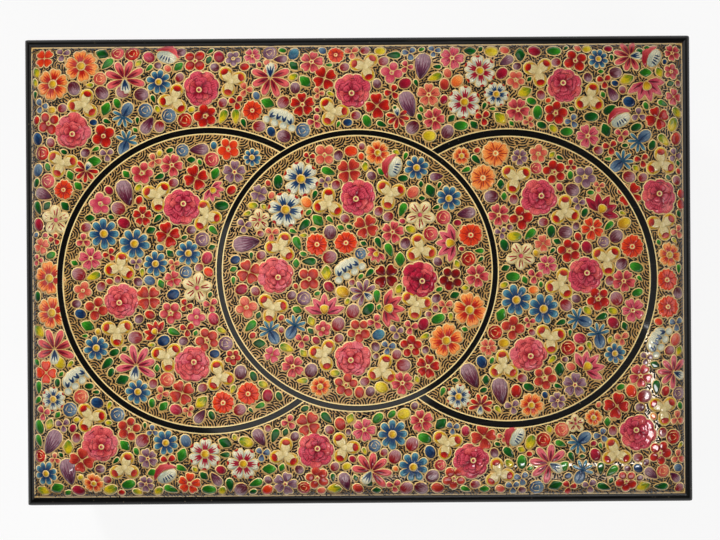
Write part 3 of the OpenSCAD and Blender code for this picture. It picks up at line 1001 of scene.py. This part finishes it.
def ring_strip(ring, offset, width, height, name, material):
    """A low rounded strip spun round the ring's centre, then pressed onto the crown."""
    start, sweep = ring_arc(ring)
    whole = sweep >= 360
    spare = 0 if whole else 2
    bm = bmesh.new()
    corners = []
    for out, up in ((-0.5, 0.0), (0.5, 0.0), (0.5, 0.6), (0.42, 1.0), (-0.42, 1.0), (-0.5, 0.6)):
        corners.append(bm.verts.new((ring["radius"] + offset + out * width, 0, up)))
    profile = bm.faces.new(corners)
    turned = Matrix.Rotation(math.radians(start - spare), 3, "Z")
    bmesh.ops.rotate(bm, verts=bm.verts[:], matrix=turned)
    geom = [profile]
    if whole:
        geom = profile.edges[:]
        bmesh.ops.delete(bm, geom=[profile], context="FACES_ONLY")
    bmesh.ops.spin(bm, geom=geom, axis=(0, 0, 1), cent=(0, 0, 0), angle=math.radians(sweep + 2 * spare),
                   steps=int(240 * sweep / 360), use_merge=whole)
    for v in bm.verts:
        up = v.co.z
        v.co.x += ring["centre"][0]
        v.co.y += ring["centre"][1]
        v.co.z = float(crown_top(v.co.x, v.co.y)) - ring_sink + up * (height + ring_sink)
    for way in () if whole else (start, start + sweep):
        end = Vector((*away(*ring["centre"], way, ring["radius"]), 0))
        outward = end.normalized()
        near = [v for v in bm.verts if (v.co.xy - end.xy).length < 8]
        geom = set(near) | {e for v in near for e in v.link_edges}
        geom |= {f for v in near for f in v.link_faces}
        bmesh.ops.bisect_plane(bm, geom=list(geom), plane_co=end + 0.3 * outward, plane_no=-outward,
                               clear_outer=True, dist=0.0001)
    bmesh.ops.holes_fill(bm, edges=[edge for edge in bm.edges if edge.is_boundary])
    bmesh.ops.remove_doubles(bm, verts=bm.verts[:], dist=0.0001)
    bmesh.ops.recalc_face_normals(bm, faces=bm.faces[:])
    bmesh.ops.scale(bm, vec=(mm, mm, mm), verts=bm.verts[:])
    for face in bm.faces:
        face.smooth = True
    for edge in bm.edges:
        edge.smooth = edge.calc_face_angle(0) < 0.4
    piece = new_piece(name, bm, material)
    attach(piece, "lid")
    return piece


def gold_line_finish():
    """Gold drawn with a fine brush, thin in places and worn."""
    material, tree, shader = new_finish("gold_line")
    place = add(tree, "TexCoord").outputs["Object"]
    age = aged(tree, place)
    broken = noise(tree, place, 900.0, 3.0)
    gold = blend(tree, broken, rgb(216, 182, 112), rgb(255, 234, 172))
    worn = ranged(tree, age["Cloud"], 0.5, 0.8, 0.0, 0.5)
    colour = blend(tree, worn, gold, rgb(168, 132, 76))
    dress(tree, shader, colour, ranged(tree, broken, 0.0, 1.0, 0.3, 0.5))
    varnished(shader)
    return material


gold_line = gold_line_finish()
ring_lacquer = black_lacquer_finish("ring_lacquer", 0.05, 0.5, 0.4)
for ring_name, ring in rings.items():
    band = ring_strip(ring, 0, ring["width"], ring_relief, ring_name + "_lacquer", ring_lacquer)
    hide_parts(ring_name)
    for side_name, side in (("inner", -1), ("outer", 1)):
        offset = side * (ring["width"] / 2 + line_offset)
        line_name = f"{ring_name}_{side_name}_gold_line"
        ring_strip(ring, offset, line_width, line_relief, line_name, gold_line)

# The lid's painting. Its roses, trefoils and red quatrefoils stand where the photograph
# shows them, given here in its pixels, and the smaller flowers stand between them.
frame_pixels = 720
photo_middle = (360.0, 270.5)
plumb_pixel_x = 420.0
plumb_x = 23.4
pixel = 0.373
photo_turn = math.radians(0.4)


def on_lid(px, py):
    """Place on the lid, in millimetres, of a spot in the photograph."""
    right = px - photo_middle[0]
    up = photo_middle[1] - py
    straight = right * math.cos(photo_turn) + up * math.sin(photo_turn)
    level = up * math.cos(photo_turn) - right * math.sin(photo_turn)
    return plumb_x + (straight + photo_middle[0] - plumb_pixel_x) * pixel, level * pixel


lid_margin = 0.9
line_room = 0.45
lid_panel = Panel(half_length - lid_margin, half_width - lid_margin, 5)
for ring in rings.values():
    centre_u, centre_v = ring["centre"]
    from_ring = np.abs(np.hypot(lid_panel.u[:, None] - centre_u, lid_panel.v[None, :] - centre_v)
                       - ring["radius"]) - ring["width"] / 2 - line_room
    if ring is not rings["ring_middle"]:
        middle_reach = np.hypot(lid_panel.u[:, None], lid_panel.v[None, :])
        from_ring = np.where(middle_reach < rings["ring_middle"]["radius"], 99.0, from_ring)
    lid_panel.gap = np.minimum(lid_panel.gap, from_ring)

# Each cluster: rose, its two trefoils, its two quatrefoils, and the shades of rose and red
clusters = [
    ((358, 197), [(328.7, 204), (390, 194)], [(349, 171), (366, 227)], "rose pink", "coral red"),
    ((275.6, 276), [(281, 248), (272, 307.5)], [(249, 272), (309, 279)], "rose coral", "coral red"),
    ((419.9, 279.4), [(421, 249.5), (416, 304)], [(386, 276), (451, 279)], "rose crimson", "deep red"),
    ((353.5, 359), [(324.5, 355), (382.6, 370)], [(359, 331), (346, 385)], "rose coral", "coral red"),
    ((182, 206.4), [(157.5, 196), (205.6, 216)], [(196, 178), (168, 235)], "rose pink", "red"),
    ((121.4, 301), [(120, 268), (117, 331)], [(149, 298), (96, 309)], "rose coral", "coral red"),
    ((192.4, 364.8), [(167, 356.5), (219, 376)], [(207, 340), (182, 393)], "rose coral", "coral red"),
    ((538.8, 197.3), [(516, 178), (564.5, 211)], [(554.5, 172), (521, 218)], "rose pink", "red"),
    ((585.2, 275.2), [(607, 259.5), (561, 284)], [(569.5, 251), (598.5, 299)], "rose pink", "red"),
    ((528.8, 354), [(550, 338), (504, 366)], [(513, 328), (545, 378)], "rose coral", "coral red"),
    ((72, 131), [(83, 104.5), (61, 162.5)], [(47, 123), (103, 136)], "rose coral", "red"),
    ((201.5, 88.7), [(174, 99.5), (230, 81)], [(194, 60), (205, 116)], "rose pink", "red"),
    ((352.7, 90.4), [(365, 66), (333, 111)], [(324.5, 78), (377, 106)], "rose pink", "red"),
    ((564.5, 85.4), [(539, 71), (590, 98)], [(576, 60), (556, 113)], "rose pink", "red"),
    ((659.8, 196.4), [(661.5, 163), (663, 224.6)], [], "rose pink", "red"),
    ((100.3, 444.4), [(90, 418), (123.5, 468)], [(128.5, 429.5), (81, 461)], "rose coral", "coral red"),
    ((315.4, 451), [(285, 454), (344, 448)], [(308, 424.5), (317, 479)], "rose pink", "coral red"),
    ((470.5, 461), [(447, 444), (499, 474)], [(454, 479), (484, 437)], "rose pink", "coral red"),
    ((638.3, 432.8), [(664, 410), (617, 453)], [(617, 406), (661, 453.5)], "rose pink", "red"),
]
for spot, foils, reds, shade, red in clusters:
    u, v = on_lid(*spot)
    cluster(lid_panel, u, v, lid_panel.luck.uniform(0, 360), shade, red,
            [on_lid(*foil) for foil in foils], [on_lid(*place) for place in reds])


def paint_at(painter, spots, *looks, any_turn=0):
    """Paints one kind of flower at its spots. A spot has its own turn, or gets any up to any_turn."""
    for px, py, *own in spots:
        turn = own.pop(0) if own else lid_panel.luck.uniform(0, any_turn)
        painter(lid_panel, *on_lid(px, py), turn, *looks, *own)


peach_daisies = [(79.6, 65.5), (51.4, 83.7), (48, 278.5), (50.6, 313), (469.6, 310), (446.4, 340.7)]
paint_at(daisy, peach_daisies, 12.6, 6, "peach", "red", any_turn=60)
white_daisies = [(480, 70.5), (464.5, 102), (204.8, 454.4), (243, 464.3)]
paint_at(daisy, white_daisies, 12, 6, "cool white", "crimson", any_turn=60)
white_blue_daisies = [(301, 179), (285.6, 209.7)]
paint_at(daisy, white_blue_daisies, 13, 6, "cool white", "deep blue", any_turn=60)
blue_daisies = [(103.6, 233.7), (134.3, 243.7), (516.4, 300), (543.7, 309), (392.5, 434.5), (413.3, 467.6)]
paint_at(daisy, blue_daisies, 11.2, 8, "sky blue", "deep blue", any_turn=45)
marigolds = [(317, 244.5), (346, 243), (223, 403), (248, 394), (668, 280), (669, 307)]
paint_at(marigold, marigolds, 8.6, "orange red", any_turn=45)
peach_marigolds = [(495.7, 153.4), (483, 178)]
paint_at(marigold, peach_marigolds, 10, "peach", any_turn=45)
# Fans, each with the way it opens and its shade, with a white bud or with a yellow eye
bud_fans = [(124, 79, 95, "rose coral"), (270, 77, -90, "rose coral"), (53.5, 350, 90, "rose coral"),
            (136, 366, 80, "pink"), (371, 472, 60, "rose coral"), (550, 464, 150, "pink")]
eye_fans = [(646, 81, -75, "pink"), (455, 243, 180, "pink"), (324.5, 314, 90, "pink"),
            (384, 308, -5, "rose coral"), (600, 213, 60, "crimson"), (584.4, 370, 45, "pink")]
paint_at(fan, bud_fans, 12.5, True)
paint_at(fan, eye_fans, 12.5, False)
# Tulips, each with the way its broad end points
tulips = [(130, 206, 110), (420, 79, 80), (413, 117, 110), (260, 241, 190), (44, 455, 60), (70, 486, 100),
          (478, 388, 120), (503, 405, 100)]
for px, py, turn in tulips:
    tulip(lid_panel, *on_lid(px, py), turn, 10.2, lid_panel.luck.random() < 0.6)
crescents = [(155, 52, -20), (391, 177, 70), (612, 125, 30), (650, 66, 60), (157, 482, 30), (512, 446, 60)]
paint_at(crescent, crescents, 9, "rose coral")
butterflies = [(123, 116, 60), (126, 141, 250), (639, 141, 40), (622.5, 161, 220), (270, 331, -60),
               (295, 326, 240), (578, 319, -20), (598.5, 334, -80), (579, 443, 40), (583, 471, 250)]
paint_at(butterfly, butterflies, 10)
striped_flowers = [(420, 215), (521, 256), (197, 288), (55, 220)]
paint_at(striped_flower, striped_flowers, 10.5, any_turn=72)
plumes = [(349, 271, 30), (280, 121, -20), (76, 381, 40), (661, 342, 60)]
paint_at(plume, plumes, 12.5)
small_pinks = [(311, 61), (434, 119), (518, 109.5), (171.6, 165), (392.5, 232), (477, 276), (499, 215),
               (624, 281), (293, 366.5), (421.5, 421), (641, 376), (402.5, 383)]
paint_at(blossom, small_pinks, 8.8, "rose coral", any_turn=72)
scatter_small_flowers(lid_panel, ((4.7, 9.0), (4.0, 7.4), (3.5, 6.4)))


room_inside, room_outside = 3.0, 1.3


def from_rings(u, v):
    """Distance from the nearest ring, where only strokes are painted close by."""
    reach = []
    for ring in rings.values():
        to_centre = math.hypot(u - ring["centre"][0], v - ring["centre"][1])
        if ring is not rings["ring_middle"] and math.hypot(u, v) < rings["ring_middle"]["radius"]:
            continue
        room = room_inside if to_centre < ring["radius"] else room_outside
        reach.append(abs(to_centre - ring["radius"]) - ring["width"] / 2 - room)
    return min(reach)


fill_with_leaves(lid_panel, from_rings)
ring_waves = []
wave_pitch = 3.3
for ring in rings.values():
    start, sweep = ring_arc(ring)
    foot = ring["radius"] - ring["width"] / 2 - 0.5
    count = int(math.radians(sweep) * foot / wave_pitch)
    for k in range(count):
        out = start + sweep * (k + lid_panel.luck.uniform(-0.2, 0.2)) / count
        facing = math.radians(out) + math.pi + lid_panel.luck.choice((-0.7, 0.7, 0.7))
        ring_waves.append((*away(*ring["centre"], out, foot), facing))
fill_with_strokes(lid_panel, ring_waves)


def lid_place(x, y, height):
    """Stands a dab's height on the crown's own slope."""
    near, spare = 0.02, 0.05
    x = np.clip(x, -half_length + spare, half_length - spare)
    y = np.clip(y, -half_width + spare, half_width - spare)
    slope_x = (crown_top(x + near, y) - crown_top(x - near, y)) / (2 * near)
    slope_y = (crown_top(x, y + near) - crown_top(x, y - near)) / (2 * near)
    upright = 1 / np.sqrt(1 + slope_x ** 2 + slope_y ** 2)
    return np.stack([x - slope_x * upright * height, y - slope_y * upright * height,
                     crown_top(x, y) + upright * height], axis=-1)


def area_of(dab):
    """The part of the lid on which a dab lies: in one of the rings, or behind or before them."""
    for ring_name, ring in rings.items():
        if math.hypot(dab[2] - ring["centre"][0], dab[3] - ring["centre"][1]) < ring["radius"]:
            return ring_name
    return "back_border" if dab[3] > 0 else "front_border"


for layer in ("flowers", "leaves", "strokes"):
    for dab in lid_panel.dabs[layer]:
        lid_panel.dabs.setdefault((area_of(dab), layer), []).append(dab)
for area in (*rings, "back_border", "front_border"):
    for layer in ("flowers", "leaves", "strokes"):
        piece = lay_on(lid_panel, (area, layer), lid_place, f"{area}_{layer}")
        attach(piece, "lid")

# The studio: a pale floor, soft lamps, and the camera straight above, where the
# photograph was taken from.
bm = bmesh.new()
bmesh.ops.create_circle(bm, cap_ends=True, segments=96, radius=12)
floor_paint, tree, shader = new_finish("studio_floor")
shader.inputs["Base Color"].default_value = (0.86, 0.86, 0.86, 1)
shader.inputs["Roughness"].default_value = 0.8
shader.inputs["Specular IOR Level"].default_value = 0.1
light_path = add(tree, "LightPath").outputs
seen = sums(tree, "ADD", light_path["Is Camera Ray"], light_path["Is Glossy Ray"])
seen = sums(tree, "ADD", seen, light_path["Is Transmission Ray"])
glow = add(tree, "Emission", {"Color": (1, 1, 1, 1), "Strength": 1.0})
seen = sums(tree, "MULTIPLY", seen, 0.88)
mix = add(tree, "MixShader", {0: seen, 1: shader.outputs[0], 2: glow.outputs[0]})
tree.links.new(mix.outputs[0], tree.nodes["Material Output"].inputs["Surface"])
floor = new_piece("studio_floor", bm, floor_paint)

world = bpy.data.worlds.new("studio")
world.use_nodes = True
world.node_tree.nodes["Background"].inputs["Color"].default_value = (1, 1, 1, 1)
world.node_tree.nodes["Background"].inputs["Strength"].default_value = 0.06
bpy.context.scene.world = world


def lamp(name, place, size, power):
    """A soft rectangular lamp that looks at the middle of the lid."""
    light = bpy.data.lights.new(name, "AREA")
    light.shape = "RECTANGLE"
    light.size, light.size_y = size
    light.energy = power
    box = bpy.data.objects.new(name, light)
    box.location = place
    aim = Vector((0, 0, 0.06)) - Vector(place)
    box.rotation_euler = aim.to_track_quat("-Z", "Y").to_euler()
    bpy.context.scene.collection.objects.link(box)
    return box


lamp("sheen_lamp", (-0.15, -0.10, 1.1), (0.34, 0.24), 0.6)
glint_lamps = (
    ("right_window", (0.6, -0.2, 1.2), (0.14, 0.4), 6.5),
    ("low_right_window", (0.24, -0.6, 1.2), (0.22, 0.07), 2.6),
    ("low_left_window", (-0.52, -0.64, 1.2), (0.06, 0.07), 0.8),
)
for window in glint_lamps:
    lamp(*window).visible_diffuse = False
lamp("front_lamp", (0.2, -1.0, 1.0), (0.7, 0.3), 5.1)
lamp("back_lamp", (-0.3, 1.1, 0.9), (1.0, 0.6), 4.3)
lamp("left_lamp", (-1.2, 0.0, 0.9), (0.7, 0.7), 4.4)
lamp("far_right_lamp", (1.2, 0.2, 0.9), (0.7, 0.7), 4.9)

pool = bpy.data.lights.new("pool_lamp", "SPOT")
pool.energy = 60.0
pool.spot_size = math.radians(17)
pool.spot_blend = 1.0
pool.shadow_soft_size = 0.12
pool_box = bpy.data.objects.new("pool_lamp", pool)
pool_box.location = (-0.4, 0.8, 1.1)
pool_aim = Vector((-0.035, -0.012, 0.076)) - pool_box.location
pool_box.rotation_euler = pool_aim.to_track_quat("-Z", "Y").to_euler()
pool_box.visible_glossy = False
bpy.context.scene.collection.objects.link(pool_box)

camera_height = 575.5
sharp_height = 75.5
lens = bpy.data.cameras.new("photo_camera")
lens.lens = lens.sensor_width * (camera_height - sharp_height) / (frame_pixels * pixel)
lens.shift_x = (frame_pixels / 2 - plumb_pixel_x) / frame_pixels
camera = bpy.data.objects.new("photo_camera", lens)
camera.location = (plumb_x * mm, 0, camera_height * mm)
camera.rotation_euler = (0, 0, -photo_turn)
bpy.context.scene.collection.objects.link(camera)
bpy.context.scene.camera = camera
bpy.context.scene.view_settings.view_transform = "Standard"
